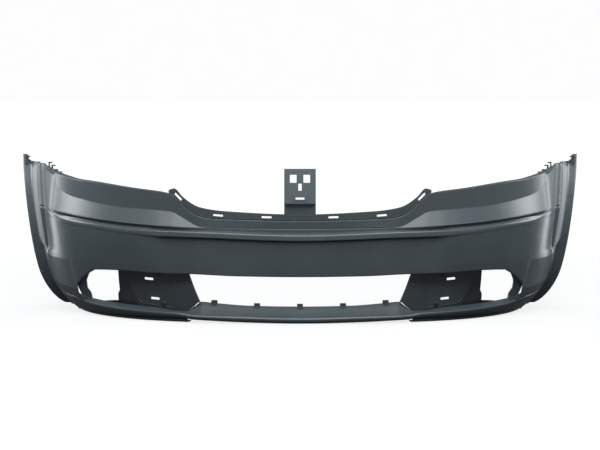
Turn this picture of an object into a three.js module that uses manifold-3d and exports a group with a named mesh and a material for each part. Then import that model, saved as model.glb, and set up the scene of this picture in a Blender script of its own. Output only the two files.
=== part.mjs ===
// Front bumper cover of a mid-size crossover car, as an assembly of its moulded pieces.
// Millimetres. The nose faces -Y, the wings run back towards +Y, +Z is up and the cover is
// symmetric about X = 0. Every point of the skin is named by three values:
//   u      place along the cover, 0 at the centre, +1 or -1 at the wheel-arch edges
//   height above the ground line of the lower lip
//   depth  distance inward from the outermost skin, square to it in plan
import * as THREE from 'three';
import { mergeVertices } from 'three/addons/utils/BufferGeometryUtils.js';
import Module from 'manifold-3d';

const wasm = await Module();
wasm.setup();

// ---- Driving dimensions -------------------------------------------------------------------
const WALL = 3;                    // wall of every moulding
const GAP = 0.5;                   // clearance between pieces that touch
const NOSE_ROUNDNESS = 2.7;        // superellipse powers of the plan curve
const SIDE_ROUNDNESS = 2.1;
const PLAN_WIDTH = 850;            // plan curve used to share out u by true length
const PLAN_DEPTH = 450;
const ARCH_CENTRE_Y = 821;         // wheel-arch circle in side view
const ARCH_CENTRE_Z = 160;
const ARCH_RADIUS = 430;
const SKIN_END = 0.953;            // the shell ends here and the arch flare starts
const OPENING_TIP = 0.748;         // outer tip of the lower opening
const STRIP_END = 0.381;           // outer end of the upper mounting strip
const VALANCE_START = 0.376;
const VALANCE_END = 0.9;
const RETURN_FLANGE = 20;          // inward flange along the wing's top edge
const OPENING_FLANGE = 25;         // rearward flange above the lower opening
const GROOVE_DEPTH = 9;            // styling groove over the ridge
const VALLEY_DEPTH = 5;            // dip in front of the arch flare
const FLARE_WALL = 2.6;
const ARCH_LIP = 18;               // inward lip along the wheel arch
const FLARE_TOP_SLANT = 20;        // rise of the flare's top corner towards the fender
const BRACKET_WIDTH = 96;
const PIN_HEAD_RADIUS = 8;
const PIN_STEM_RADIUS = 3.2;
const PIN_STEM_LENGTH = 12;
const PIN_HOLE_RADIUS = 4;

// ---- Materials ----------------------------------------------------------------------------
function plastic(name, color, roughness) {
  return new THREE.MeshStandardMaterial({ name, color, roughness, metalness: 0 });
}
const primer = plastic('primer', 0x454d50, 0.42);
const blackPlastic = plastic('black_plastic', 0x26292b, 0.55);
const clipPlastic = plastic('clip_plastic', 0x1b1d1f, 0.5);
const steel = new THREE.MeshStandardMaterial({
  name: 'steel', color: 0x6d7072, roughness: 0.4, metalness: 0.9,
});

// ---- Curves -------------------------------------------------------------------------------
// Smooth curve through [x, y] pairs that never overshoots them.
function curve(...pairs) {
  const xs = pairs.map((pair) => pair[0]);
  const ys = pairs.map((pair) => pair[1]);
  const last = xs.length - 1;
  const rise = xs.slice(1).map((x, i) => (ys[i + 1] - ys[i]) / (x - xs[i]));
  const slope = xs.map((x, i) => {
    if (i === 0) return x === 0 ? 0 : rise[0];
    if (i === last) return rise[last - 1];
    if (rise[i - 1] * rise[i] <= 0) return 0;
    const before = xs[i] - xs[i - 1];
    const after = xs[i + 1] - xs[i];
    const weightA = 2 * after + before;
    const weightB = after + 2 * before;
    return (weightA + weightB) / (weightA / rise[i - 1] + weightB / rise[i]);
  });
  return (x) => {
    if (x <= xs[0]) return ys[0];
    if (x >= xs[last]) return ys[last];
    let i = 0;
    while (x > xs[i + 1]) i += 1;
    const h = xs[i + 1] - xs[i];
    const s = (x - xs[i]) / h;
    const s2 = s * s;
    const s3 = s2 * s;
    return (2 * s3 - 3 * s2 + 1) * ys[i] + (s3 - 2 * s2 + s) * h * slope[i]
      + (3 * s2 - 2 * s3) * ys[i + 1] + (s3 - s2) * h * slope[i + 1];
  };
}

const smooth = (from, to, x) => THREE.MathUtils.smoothstep(x, from, to);
const mix = THREE.MathUtils.lerp;

// Plan curve in unit size: a superellipse quarter, shared out by its length.
const PLAN_STEPS = 500;
const planTable = [];
for (let i = 0; i <= PLAN_STEPS; i += 1) {
  const angle = (i / PLAN_STEPS) * (Math.PI / 2);
  const across = Math.sin(angle) ** (2 / NOSE_ROUNDNESS);
  const back = 1 - Math.cos(angle) ** (2 / SIDE_ROUNDNESS);
  const previous = planTable[i - 1] ?? { across: 0, back: 0, length: 0 };
  const step = Math.hypot(
    PLAN_WIDTH * (across - previous.across),
    PLAN_DEPTH * (back - previous.back),
  );
  planTable.push({ across, back, length: previous.length + step });
}
const PLAN_LENGTH = planTable[PLAN_STEPS].length;

function planAt(u) {
  const length = Math.min(Math.abs(u), 1) * PLAN_LENGTH;
  let i = 1;
  while (i < PLAN_STEPS && planTable[i].length < length) i += 1;
  const from = planTable[i - 1];
  const to = planTable[i];
  const share = (length - from.length) / (to.length - from.length);
  return [mix(from.across, to.across, share), mix(from.back, to.back, share)];
}

// Half width of the skin at the wheel arch, by height.
const halfWidth = curve([-20, 705], [0, 727], [30, 752], [60, 774], [100, 794], [150, 808],
  [226, 822], [330, 840], [470, 859], [560, 868]);

// The wheel-arch edge runs along a circle in side view.
function archY(height) {
  return ARCH_CENTRE_Y - Math.sqrt(ARCH_RADIUS ** 2 - (height - ARCH_CENTRE_Z) ** 2);
}

function skinBase(u, height) {
  const [across, back] = planAt(u);
  return [halfWidth(height) * across, archY(height) * back];
}

// Outward direction in plan at u >= 0.
function outward(u, height) {
  const step = 0.004;
  const a = skinBase(Math.max(u - step, 0), height);
  const b = skinBase(Math.min(u + step, 1), height);
  const length = Math.hypot(b[0] - a[0], b[1] - a[1]);
  return [(b[1] - a[1]) / length, -(b[0] - a[0]) / length];
}

function skin(u, height, depth = 0) {
  const half = Math.abs(u);
  const [x, y] = skinBase(half, height);
  const [nx, ny] = outward(half, height);
  const side = u < 0 ? -1 : 1;
  return new THREE.Vector3(side * (x - depth * nx), y - depth * ny, height);
}

// Local frame on the skin: x along the cover, y inward, z up, tilted back by `tilt`.
function frameOn(u, height, depth, tilt = 0, roll = 0) {
  const [nx, ny] = outward(Math.abs(u), height);
  const side = u < 0 ? -1 : 1;
  const inwards = new THREE.Vector3(-side * nx, -ny, 0);
  const up = new THREE.Vector3(0, 0, 1);
  const along = new THREE.Vector3().crossVectors(inwards, up);
  const matrix = new THREE.Matrix4().makeBasis(along, inwards, up);
  matrix.multiply(new THREE.Matrix4().makeRotationX(tilt));
  matrix.multiply(new THREE.Matrix4().makeRotationY(roll));
  return matrix.setPosition(skin(u, height, depth));
}

// ---- Feature lines of the shell, by u -----------------------------------------------------
const topEdge = curve([0, 313], [0.173, 317], [0.269, 321], [0.289, 326], [0.316, 338],
  [0.345, 366], [0.375, 394], [0.4, 398], [0.488, 407], [0.626, 422], [0.703, 427],
  [0.752, 433], [0.832, 442], [0.867, 449], [0.925, 459], [1, 464]);
const topDepth = curve([0, 16], [0.3, 16], [0.375, 28], [0.8, 28], [0.953, 4], [1, 4]);
const facetTop = curve([0, 294], [0.298, 297], [0.372, 339], [0.538, 349], [0.686, 368],
  [0.741, 378], [0.775, 389], [0.803, 405], [0.817, 429], [0.84, 446], [1, 460]);
const facetTopDepth = curve([0, 15], [0.298, 13], [0.36, 22], [0.4, 24], [0.8, 23],
  [0.83, 20], [0.953, 3], [1, 3]);
const facetFoot = curve([0, 286], [0.298, 291], [0.488, 301], [0.66, 314], [0.74, 321],
  [0.803, 325], [0.86, 328], [1, 332]);
const facetFootDepth = curve([0, 14], [0.25, 13], [0.298, 10], [0.36, 4], [0.42, 1.5],
  [0.8, 0.5], [1, 0]);
const ridge = curve([0, 268], [0.292, 277], [0.491, 281], [0.625, 293], [0.732, 301],
  [0.798, 314], [0.86, 320], [1, 324]);
const grooveDepth = curve([0, 13], [0.25, 12.5], [0.4, GROOVE_DEPTH], [0.7, GROOVE_DEPTH],
  [0.81, 1], [1, 0]);
const faceDepth = curve([0, 10], [0.36, 10], [0.4, 8], [0.44, 3], [0.5, 0.5], [1, 0]);
const openingTop = curve([0, 142], [0.189, 144], [0.33, 149], [0.435, 150], [0.556, 154],
  [0.65, 151], [0.666, 144], [0.684, 134], [0.709, 118], [0.722, 108], [0.738, 92],
  [OPENING_TIP, 78], [0.8, 82], [1, 90]);
const openingTopDepth = curve([0, 11], [0.36, 11], [0.42, 8], [0.6, 6], [OPENING_TIP, 0], [1, 0]);
const openingFoot = curve([0, 47], [0.153, 49], [0.28, 57], [0.315, 60], [0.345, 45],
  [0.385, 30], [0.42, 30], [0.46, 36], [0.62, 43], [0.69, 50], [0.72, 56], [0.738, 63],
  [OPENING_TIP, 70], [0.8, 66], [1, 72]);
const shelfDepth = curve([0, 50], [0.6, 50], [0.7, 30], [0.738, 8], [OPENING_TIP, 0], [1, 0]);
const lip = curve([0, 14], [0.2, 18], [0.35, 21], [0.389, 26], [0.483, 29], [0.58, 32],
  [0.716, 40], [0.763, 48], [0.8, 54], [1, 60]);
const bottomEdge = curve([0, 0], [0.18, 3], [0.275, 6], [0.356, 9], [0.39, 13], [0.8, 13],
  [0.9, 8], [1, 8]);

// The skin draws in before the wheel arch, steps out to a bead and ends in a valley.
const beadHeight = curve([0, 2], [170, 3], [212, 9], [256, 13], [350, 17], [470, 18]);
const drawIn = (u, height) => beadHeight(height) * (smooth(0.78, 0.925, u)
  - smooth(0.927, 0.944, u)) + VALLEY_DEPTH * smooth(0.945, SKIN_END, u);

// Section of the shell at u, from the top edge down, as [height, depth] pairs.
function shellSection(u) {
  const top = topEdge(u);
  const topIn = topDepth(u);
  const flange = 4 + (RETURN_FLANGE - 4) * (smooth(0.37, 0.42, u) - smooth(0.85, 0.87, u));
  const upper = Math.min(facetTop(u), top - 9);
  const upperIn = facetTopDepth(u);
  const foot = facetFoot(u);
  const footIn = facetFootDepth(u);
  const crest = ridge(u);
  const groove = grooveDepth(u);
  const under = crest - 14;
  const face = faceDepth(u);
  const open = openingTop(u);
  const openIn = openingTopDepth(u);
  const hem = OPENING_FLANGE * (1 - smooth(0.6, OPENING_TIP, u));
  const shelf = openingFoot(u);
  const shelfIn = shelfDepth(u);
  const edge = lip(u);
  const bottom = bottomEdge(u);
  const lowest = openingTop(OPENING_TIP) - 2;
  const rows = [
    [top - 1, topIn + flange],
    [top, topIn + 2],
    [top - 3, topIn],
    [upper + 1.5, upperIn + 0.5],
    [upper - 2.5, upperIn - 1],
    [foot + 2, footIn + 1],
    [foot - 2, footIn + (groove - footIn) * 0.2],
    [mix(foot, crest, 0.5) + 1, groove],
    [crest + 2.5, groove * 0.5],
    [crest, 0],
    [crest - 6, -1],
    [under + 1, 0],
    [under - 1, face],
    [mix(under, open, 0.5), face * 0.9],
    [open + 4, openIn - 0.5],
    [open, openIn + 0.5],
    [u >= OPENING_TIP ? lowest : open + 1, openIn + hem],
    [shelf, shelfIn],
    [edge + 5, Math.min(shelfIn, 12)],
    [edge, 0],
    [edge - 6, 0],
    [bottom + 3, 4],
    [bottom, 8],
    [bottom + 1, mix(26, 11, smooth(0.355, 0.37, u))],
  ];
  return rows.map(([height, depth]) => [height, depth + drawIn(u, height)]);
}
const LAST_ROW_OVER_OPENING = 16;

const SHELL_STATIONS = [0, 0.1, 0.18, 0.25, 0.28, 0.3, 0.32, 0.345, 0.36, 0.378, 0.4, 0.44, 0.5,
  0.56, 0.62, 0.655, 0.68, 0.705, 0.722, 0.738, OPENING_TIP, 0.775, 0.803, 0.817, 0.832, 0.86,
  0.89, 0.915, 0.928, 0.936, 0.944, SKIN_END];

// ---- Solids -------------------------------------------------------------------------------
function geometryFrom(positions, indices) {
  const geometry = new THREE.BufferGeometry();
  geometry.setAttribute('position', new THREE.Float32BufferAttribute(positions, 3));
  geometry.setIndex(indices);
  return geometry;
}

// A wall of even thickness on a grid of points. `outer[i][j]` has column i and row j, with the
// outside on the left hand when walking up a column in order of i. Cells for which
// `isOpen(i, j)` is true are left out, and every free edge gets a side wall.
function wallFromGrid(outer, thickness = WALL, isOpen = () => false) {
  const columns = outer.length;
  const rows = outer[0].length;
  const solid = (i, j) => i >= 0 && j >= 0 && i < columns - 1 && j < rows - 1 && !isOpen(i, j);
  const normals = outer.map((column) => column.map(() => new THREE.Vector3()));
  for (let i = 0; i < columns - 1; i += 1) {
    for (let j = 0; j < rows - 1; j += 1) {
      if (!solid(i, j)) continue;
      const diagonalA = outer[i + 1][j + 1].clone().sub(outer[i][j]);
      const diagonalB = outer[i][j + 1].clone().sub(outer[i + 1][j]);
      const normal = diagonalB.cross(diagonalA).normalize();
      for (const [a, b] of [[i, j], [i + 1, j], [i, j + 1], [i + 1, j + 1]]) {
        normals[a][b].add(normal);
      }
    }
  }
  const positions = [];
  const vertexOf = (i, j, inner) => ((i * rows + j) * 2) + (inner ? 1 : 0);
  for (let i = 0; i < columns; i += 1) {
    for (let j = 0; j < rows; j += 1) {
      const inwards = normals[i][j].clone().normalize().multiplyScalar(-thickness);
      positions.push(...outer[i][j].toArray());
      positions.push(...outer[i][j].clone().add(inwards).toArray());
    }
  }
  const indices = [];
  const quad = (a, b, c, d) => indices.push(a, b, c, a, c, d);
  const sideWall = (a, b) => {
    quad(vertexOf(...a, false), vertexOf(...a, true), vertexOf(...b, true), vertexOf(...b, false));
  };
  for (let i = 0; i < columns - 1; i += 1) {
    for (let j = 0; j < rows - 1; j += 1) {
      if (!solid(i, j)) continue;
      const corners = [[i, j], [i, j + 1], [i + 1, j + 1], [i + 1, j]];
      quad(...corners.map(([a, b]) => vertexOf(a, b, false)));
      quad(...corners.map(([a, b]) => vertexOf(a, b, true)).reverse());
      const beyond = [[i - 1, j], [i, j + 1], [i + 1, j], [i, j - 1]];
      beyond.forEach(([a, b], k) => {
        if (!solid(a, b)) sideWall(corners[k], corners[(k + 1) % 4]);
      });
    }
  }
  return dropUnused(geometryFrom(positions, indices));
}

// Copy of a geometry with only position, only used vertices and shared corners.
function dropUnused(geometry) {
  const plain = geometry.index ? geometry.toNonIndexed() : geometry.clone();
  plain.deleteAttribute('normal');
  plain.deleteAttribute('uv');
  return mergeVertices(plain, 1e-4);
}

function toManifold(geometry) {
  const merged = dropUnused(geometry);
  return new wasm.Manifold(new wasm.Mesh({
    numProp: 3,
    vertProperties: new Float32Array(merged.attributes.position.array),
    triVerts: new Uint32Array(merged.index.array),
  }));
}

function fromManifold(solid) {
  const { vertProperties, triVerts } = solid.getMesh();
  return geometryFrom(Array.from(vertProperties), Array.from(triVerts));
}

function cutAway(geometry, cutters) {
  let solid = toManifold(geometry);
  for (const cutter of cutters) solid = solid.subtract(toManifold(cutter));
  return fromManifold(solid);
}

function joinTo(geometry, additions) {
  let solid = toManifold(geometry);
  for (const addition of additions) solid = solid.add(toManifold(addition));
  return fromManifold(solid);
}

const box = (x, y, z) => new THREE.BoxGeometry(x, y, z);

// Cylinder along local y.
function rod(radius, length, sides = 12) {
  return new THREE.CylinderGeometry(radius, radius, length, sides);
}

function placed(geometry, matrix) {
  return geometry.clone().applyMatrix4(matrix);
}

// Outline of [x, z] points extruded by `length` along +y.
function prism(points, length, holes = []) {
  const shape = new THREE.Shape(points.map(([x, z]) => new THREE.Vector2(x, z)));
  shape.holes = holes.map((hole) => new THREE.Path(hole.map(([x, z]) => new THREE.Vector2(x, z))));
  const geometry = new THREE.ExtrudeGeometry(shape, { depth: length, bevelEnabled: false });
  return geometry.rotateX(Math.PI / 2).translate(0, length, 0);
}

// Both hands of a list of stations, from the -X end to the +X end.
function mirrored(stations) {
  const left = stations.filter((u) => u > 0).map((u) => -u).reverse();
  return [...left, ...stations];
}

const group = new THREE.Group();
function addPart(name, geometry, material) {
  const part = new THREE.Mesh(geometry, material);
  part.name = name;
  part.geometry.computeVertexNormals();
  group.add(part);
  return part;
}
const SIDES = [['left', -1], ['right', 1]];

// ---- Fasteners ----------------------------------------------------------------------------
// Push-pin turned about local y: the head lies on the face, the stem goes inward.
function pushPin() {
  const profile = [
    [0, -3], [5, -3], [PIN_HEAD_RADIUS, -1.6], [PIN_HEAD_RADIUS, 0], [PIN_STEM_RADIUS, 0],
    [PIN_STEM_RADIUS, PIN_STEM_LENGTH - 3], [1.5, PIN_STEM_LENGTH], [0, PIN_STEM_LENGTH],
  ];
  return new THREE.LatheGeometry(profile.map(([r, y]) => new THREE.Vector2(r, y)), 12);
}

const pinHole = (matrix) => placed(rod(PIN_HOLE_RADIUS, 40), matrix);
const lifted = (matrix, lift) => matrix.clone()
  .multiply(new THREE.Matrix4().makeTranslation(0, -lift, 0));

// ---- Wing screws, which tie the side brackets to the shell's top flange --------------------
const WING_SCREW_STATIONS = [0.8, 0.838];
const SIDE_BRACKET_DROP = 7;
function wingScrewFrame(u) {
  const half = Math.abs(u);
  const height = topEdge(half) - 0.6;
  const matrix = frameOn(u, height, topDepth(half) + drawIn(half, height) + 13);
  return matrix.multiply(new THREE.Matrix4().makeRotationX(-Math.PI / 2));
}

// ---- Shell --------------------------------------------------------------------------------
const pocketPins = [];
function buildShell() {
  const stations = mirrored(SHELL_STATIONS);
  const grid = stations.map((u) => shellSection(Math.abs(u))
    .map(([height, depth]) => skin(u, height, depth)));
  const inOpening = (i, j) => j === LAST_ROW_OVER_OPENING
    && Math.max(Math.abs(stations[i]), Math.abs(stations[i + 1])) <= OPENING_TIP;
  const wall = wallFromGrid(grid, WALL, inOpening);
  const holes = SIDES.flatMap(([, side]) => WING_SCREW_STATIONS
    .map((u) => pinHole(wingScrewFrame(side * u))));
  return cutAway(wall, holes);
}
addPart('fascia_shell', buildShell(), primer);

// ---- Upper mounting strip -----------------------------------------------------------------
const stripTop = curve([0, 334], [0.05, 335], [0.174, 341], [0.23, 345], [0.26, 349],
  [0.291, 356], [0.311, 366], [0.34, 388], [0.362, 410], [0.374, 408], [STRIP_END, 404]);
const STRIP_RUN = 10;              // how far the strip reaches back from the shell's edge
const SLOT = { length: 30, height: 6, depth: 40 };
const STRIP_SLOTS = [[0.096, 322, 0.02], [0.236, 327, 0.07], [0.352, 386, 0.74]];

function buildStrip() {
  const stations = mirrored([0, 0.05, 0.12, 0.18, 0.23, 0.26, 0.285, 0.305, 0.325, 0.345,
    0.362, 0.374, STRIP_END]);
  const grid = stations.map((u) => {
    const half = Math.abs(u);
    const root = topEdge(half) + 0.5;
    const back = topDepth(half);
    const top = Math.max(stripTop(half), root + 8);
    return [
      [top - 8, back + STRIP_RUN + 3],
      [top, back + STRIP_RUN],
      [mix(root, top, 0.5) + 2, back + 5],
      [root + 4, back + 1],
      [root + 1.5, back],
      [root + 1, back + 8],
      [root - 9, back + 12],
    ].map(([height, depth]) => skin(u, height, depth));
  });
  const slots = [];
  for (const [u, height, roll] of STRIP_SLOTS) {
    for (const side of [-1, 1]) {
      const matrix = frameOn(side * u, height, 24, -0.45, -side * roll);
      slots.push(placed(box(SLOT.length, SLOT.depth, SLOT.height), matrix));
    }
  }
  return cutAway(wallFromGrid(grid), slots);
}
addPart('upper_mounting_strip', buildStrip(), primer);

// ---- Centre support bracket ---------------------------------------------------------------
const BRACKET = { foot: 328, ledge: 368, top: 470, footY: 17, ledgeY: 10, topY: 38 };

function buildCentreBracket() {
  const { foot, ledge, top, footY, ledgeY, topY } = BRACKET;
  const plateY = (z) => mix(ledgeY, topY, (z - ledge) / (top - ledge));
  // Side profile as [y, z]: foot, step under the ledge, leaning plate, top ledge bent rearward.
  const profile = [
    [footY, foot], [footY, ledge + WALL], [ledgeY, ledge], [plateY(top), top],
    [plateY(top) + 28, top - 5], [plateY(top) + 28, top - 5 - WALL],
    [plateY(top) + WALL, top - WALL - 1], [ledgeY + WALL, ledge + WALL + 2],
    [footY + WALL, ledge + WALL + 6], [footY + WALL, foot],
  ];
  const plate = prism(profile, BRACKET_WIDTH);
  plate.rotateZ(Math.PI / 2).translate(BRACKET_WIDTH / 2, 0, 0);
  const cutter = (x, z, width, height) => box(width, 60, height).translate(x, plateY(z), z);
  const windows = [
    cutter(-20.5, 441, 20, 25), cutter(20.5, 441, 20, 25),
    cutter(0, 416, 10, 22), cutter(0, 382, 27, 7),
  ];
  const ribs = [-1, 1].map((side) => {
    const rib = prism([
      [plateY(ledge) + 1, ledge + 12], [plateY(top) + 1, top - 5],
      [plateY(top) + 12, top - 7], [plateY(ledge) + 11, ledge + 12],
    ], WALL);
    return rib.rotateZ(Math.PI / 2).translate(side * (BRACKET_WIDTH / 2 - 2) + WALL / 2, 0, 0);
  });
  return cutAway(joinTo(plate, ribs), windows);
}
addPart('centre_support_bracket', buildCentreBracket(), primer);

// ---- Pocket panels beside the lower grille ------------------------------------------------
const POCKET_OUTER = 0.55;
const pocketInner = curve([30, 0.312], [60, 0.318], [150, 0.34]);
const pocketDepth = curve([0.32, 34], [0.385, 44], [0.42, 47], [0.6, 47]);
const POCKET_SLOTS = [[0.478, 127, 0.06], [0.474, 66, 0.06]];
const POCKET_PINS = [[0.445, 143], [0.45, 50]];

function buildPocketPanel(side) {
  const shares = [0, 0.3, 0.5, 0.75, 1];
  const grid = shares.map((share) => {
    const outerFoot = mix(pocketInner(40), POCKET_OUTER, share);
    const low = openingFoot(outerFoot) + 2;
    const high = openingTop(outerFoot) + 8;
    return [1, 0.66, 0.33, 0].map((level) => {
      const height = mix(low, high, level);
      const u = mix(pocketInner(height), POCKET_OUTER, share);
      return skin(side * u, height, pocketDepth(u));
    });
  });
  if (side < 0) grid.reverse();
  const cutters = POCKET_SLOTS.map(([u, height, roll]) => placed(
    box(SLOT.length, SLOT.depth, 10),
    frameOn(side * u, height, pocketDepth(u), 0, -side * roll),
  ));
  const pins = POCKET_PINS.map(([u, height]) => frameOn(side * u, height, pocketDepth(u)));
  cutters.push(...pins.map(pinHole));
  pocketPins.push(pins);
  return cutAway(wallFromGrid(grid), cutters);
}

// ---- Fog-lamp carriers --------------------------------------------------------------------
const CARRIER_DEPTH = 60;
const CARRIER_INNER = 0.556;
const CARRIER_OUTER = 0.744;
const FOG_WINDOW_U = 0.648;
const FOG_WINDOW = [[-44, -34], [-38, -42], [38, -40], [42, -22], [53, -10], [56, 22], [50, 38],
  [40, 50], [-44, 52]];

function buildCarrier(side) {
  const stations = [CARRIER_INNER, 0.6, 0.64, 0.68, 0.7, 0.72, 0.733, CARRIER_OUTER];
  const grid = stations.map((u) => {
    const high = mix(160, 104, smooth(0.66, CARRIER_OUTER, u));
    const low = openingFoot(u) + mix(-6, 3, smooth(0.67, 0.7, u));
    const depth = mix(CARRIER_DEPTH, 7, smooth(0.66, 0.752, u));
    return [1, 0.66, 0.33, 0].map((level) => skin(side * u, mix(low, high, level), depth));
  });
  if (side < 0) grid.reverse();
  const plate = wallFromGrid(grid);
  const rib = placed(box(WALL, 34, 90), frameOn(side * (CARRIER_INNER + 0.006), 108, 51));
  const outline = FOG_WINDOW.map(([x, z]) => [side * x, z]);
  if (side < 0) outline.reverse();
  const window = prism(outline, 90).translate(0, -45, 0);
  const windowFrame = frameOn(side * FOG_WINDOW_U, 102, CARRIER_DEPTH);
  const crescent = placed(box(5, 60, 26), frameOn(side * 0.712, 92, 30, 0, side * 0.42));
  const hole = placed(rod(4.2, 60), frameOn(side * 0.676, 84, 40));
  return cutAway(joinTo(plate, [rib]), [placed(window, windowFrame), crescent, hole]);
}

// ---- Lower valances -----------------------------------------------------------------------
const valanceRise = (u) => 26 * smooth(0.72, VALANCE_END + 0.02, u);
const VALANCE_PADS = [0.45, 0.66];

function buildValance(side) {
  const stations = [VALANCE_START, 0.42, 0.48, 0.54, 0.6, 0.66, 0.71, 0.76, 0.81, 0.86,
    VALANCE_END];
  const grid = stations.map((u) => {
    const rise = valanceRise(u);
    const ceiling = bottomEdge(u);
    return [
      [ceiling + 14, 17], [ceiling - 1, 16], [ceiling - 3.5, 10],
      [3 + rise * 0.1, 10], [0, 13], [0, 44],
    ].map(([height, depth]) => skin(side * u, height, depth));
  });
  if (side < 0) grid.reverse();
  const pads = VALANCE_PADS.map((u) => placed(box(34, 22, 4), frameOn(side * u, 2, 36)));
  return joinTo(wallFromGrid(grid), pads);
}

// ---- Wheel-arch flares --------------------------------------------------------------------
const flareHalfWidth = curve([4, 755], [18, 778], [48, 806], [83, 827], [118, 841], [161, 852],
  [213, 863], [364, 889], [484, 909]);
const flareReach = (height) => flareHalfWidth(height) - halfWidth(height);
const flareShoulder = curve([4, 4], [150, 6], [184, 8], [216, 21], [235, 23], [478, 24]);

function buildFlare(side) {
  const heights = [462, 440, 410, 370, 330, 290, 250, 215, 180, 145, 110, 78, 48, 26, 8];
  const grid = [0, 1, 2, 3, 4, 5].map((column) => heights.map((height) => {
    const reach = flareReach(height);
    const shoulder = flareShoulder(height);
    const [u, depth] = [
      [SKIN_END + 0.004, VALLEY_DEPTH],
      [SKIN_END + 0.007, 1],
      [SKIN_END + 0.02, -shoulder],
      [0.985, -mix(shoulder, reach, 0.6)],
      [0.997, -reach],
      [1, -reach + 2],
    ][column];
    const slant = FLARE_TOP_SLANT * smooth(430, 462, height) * smooth(0.965, 1, u);
    return skin(side * u, height + slant, depth);
  }));
  grid.push(heights.map((height) => skin(side, height, -flareReach(height) + ARCH_LIP)));
  if (side < 0) grid.reverse();
  const holes = ARCH_PIN_HEIGHTS.map((height) => placed(rod(PIN_HOLE_RADIUS, 30),
    archPinFrame(side, height)));
  const hookFrame = frameOn(side * FLARE_HOOK_STATION, 464, -32.5);
  const hook = [
    placed(box(10, 9, 26), hookFrame),
    placed(box(16, 14, WALL).translate(0, 4, 12), hookFrame),
  ];
  return cutAway(joinTo(wallFromGrid(grid, FLARE_WALL), hook), holes);
}

// ---- Pins through the flare's return lip ---------------------------------------------------
const ARCH_PIN_HEIGHTS = [110, 230, 350];
function archPinFrame(side, height) {
  const [nx, ny] = outward(1, height);
  const middle = skin(side, height, -flareReach(height) + 12);
  const sweep = (height - ARCH_CENTRE_Z) / ARCH_RADIUS;
  const forward = new THREE.Vector3(0, -Math.sqrt(1 - sweep * sweep), sweep);
  const across = new THREE.Vector3(side * nx, ny, 0);
  const third = new THREE.Vector3().crossVectors(forward, across).normalize();
  const first = new THREE.Vector3().crossVectors(forward, third);
  return new THREE.Matrix4().makeBasis(first, forward, third).setPosition(middle);
}

// ---- Side brackets under the wing's top edge -----------------------------------------------
const BRACKET_STATIONS = [0.785, 0.815, 0.846, 0.874, 0.9, 0.92];
const HOOK_STATIONS = [0.875, 0.91];
const FLARE_HOOK_STATION = 0.984;

function buildSideBracket(side) {
  const grid = BRACKET_STATIONS.map((u) => {
    const top = topEdge(u) - SIDE_BRACKET_DROP;
    const inner = topDepth(u) + drawIn(u, top) + WALL;
    const reach = mix(24, 12, smooth(0.85, 0.87, u));
    return [[top, inner + reach], [top, inner + 5], [top - 30, inner + 4]]
      .map(([height, depth]) => skin(side * u, height, depth));
  });
  if (side < 0) grid.reverse();
  const hooks = HOOK_STATIONS.flatMap((u) => {
    const base = topEdge(u) - SIDE_BRACKET_DROP;
    const depth = topDepth(u) + drawIn(u, base) + WALL + 10;
    return [
      placed(box(12, WALL, 15), frameOn(side * u, base + 5.5, depth)),
      placed(box(16, 12, WALL), frameOn(side * u, base + 12, depth + 4)),
    ];
  });
  const holes = WING_SCREW_STATIONS.map((u) => pinHole(wingScrewFrame(side * u)));
  return cutAway(joinTo(wallFromGrid(grid, 2.5), hooks), holes);
}

SIDES.forEach(([hand, side], index) => {
  addPart(`pocket_panel_${hand}`, buildPocketPanel(side), blackPlastic);
  addPart(`fog_lamp_carrier_${hand}`, buildCarrier(side), blackPlastic);
  addPart(`lower_valance_${hand}`, buildValance(side), blackPlastic);
  addPart(`wheel_arch_flare_${hand}`, buildFlare(side), primer);
  addPart(`side_bracket_${hand}`, buildSideBracket(side), blackPlastic);
  pocketPins[index].forEach((matrix, k) => {
    addPart(`pocket_pin_${hand}_${k + 1}`, placed(pushPin(), lifted(matrix, GAP)), clipPlastic);
  });
  ARCH_PIN_HEIGHTS.forEach((height, k) => {
    const matrix = lifted(archPinFrame(side, height), GAP + 1);
    addPart(`arch_pin_${hand}_${k + 1}`, placed(pushPin(), matrix), clipPlastic);
  });
  WING_SCREW_STATIONS.forEach((u, k) => {
    const matrix = lifted(wingScrewFrame(side * u), GAP + 1.6);
    addPart(`wing_screw_${hand}_${k + 1}`, placed(pushPin(), matrix), steel);
  });
});

// ---- Grille clips on the rear edge of the lower shelf --------------------------------------
const CLIP_WIDTH = 18;
const CLIP_PLAY = 2.4;
const CLIP_STATIONS = [-0.276, -0.138, 0, 0.138, 0.276];
function buildGrilleClip(u) {
  const half = Math.abs(u);
  const tilt = Math.atan2(openingFoot(half) - lip(half) - 5, shelfDepth(half) - 12);
  const slot = WALL + CLIP_PLAY;
  const outline = [
    [-10, -slot - 1], [8, -slot - 1], [8, 4], [-8, 4], [-10, 3], [-10, 1],
    [1, 1], [1, 1 - slot], [-10, 1 - slot],
  ];
  const clip = prism(outline, CLIP_WIDTH).translate(0, -CLIP_WIDTH / 2, 0).rotateZ(Math.PI / 2);
  return placed(clip, frameOn(u, openingFoot(half), shelfDepth(half), tilt));
}
CLIP_STATIONS.forEach((u, k) => {
  addPart(`grille_clip_${k + 1}`, buildGrilleClip(u), clipPlastic);
});

// ---- Origin at the middle of the underside --------------------------------------------------
const extent = new THREE.Box3().setFromObject(group);
const centre = extent.getCenter(new THREE.Vector3());
group.position.set(-centre.x, -centre.y, -extent.min.z);

export default group;
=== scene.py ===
import bisect
import functools
import math

import bmesh
import bpy
from bpy.props import FloatProperty, FloatVectorProperty, PointerProperty
from bpy.types import Operator, Panel, PropertyGroup
from mathutils import Matrix, Vector


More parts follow.
